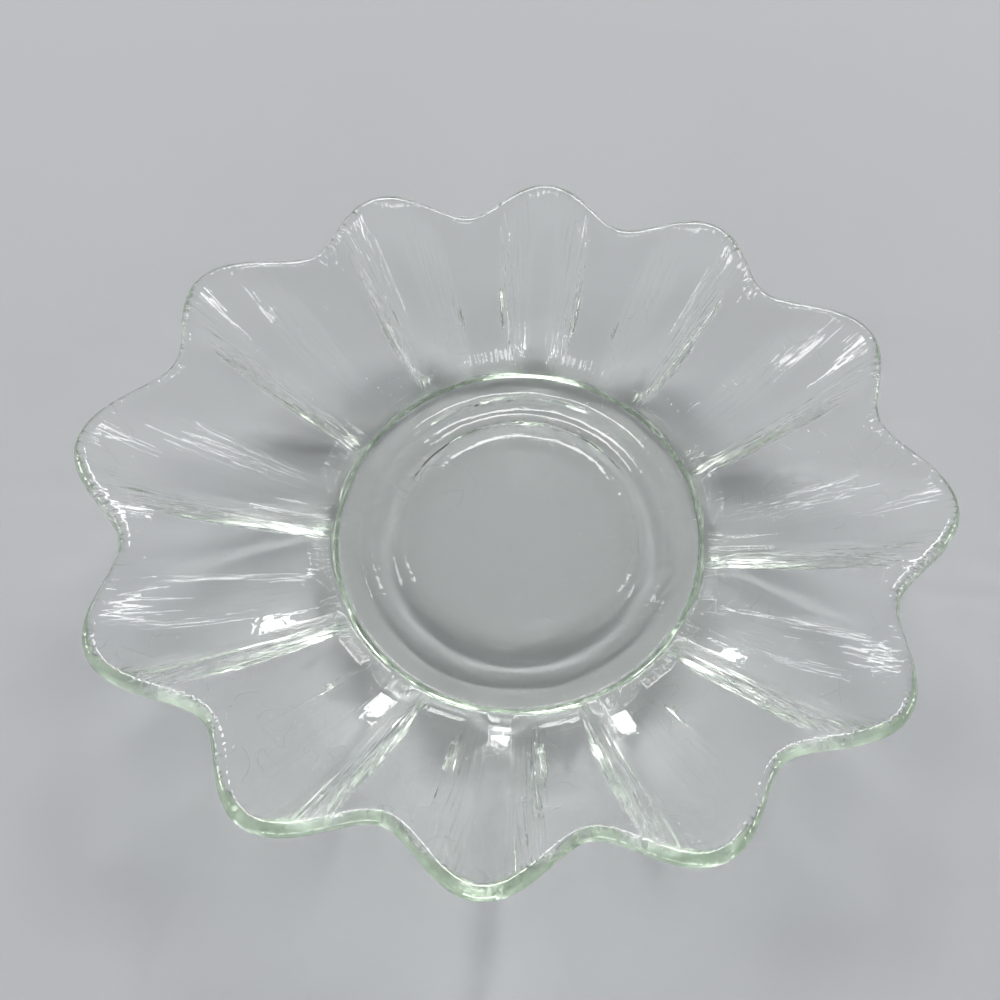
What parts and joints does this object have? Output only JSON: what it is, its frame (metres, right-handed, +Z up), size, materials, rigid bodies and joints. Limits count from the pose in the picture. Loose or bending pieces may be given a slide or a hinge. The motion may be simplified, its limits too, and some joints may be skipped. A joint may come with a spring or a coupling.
{
  "type": "floating candle bowl",
  "caption": "Shallow oval bowl of clear pressed glass with a scalloped, fluted wall, for water with floating candles.",
  "frame": {"origin": "on the table, under the middle of the foot", "axes": "+Z up, +X along the long axis of the oval rim through the tip of a lobe, +Y across it"},
  "size_m": [0.2548, 0.224, 0.045],
  "materials": {
    "clear_glass": "polished"
  },
  "bodies": {
    "root": {"glass_bowl": "clear_glass"}
  },
  "joints": []
}
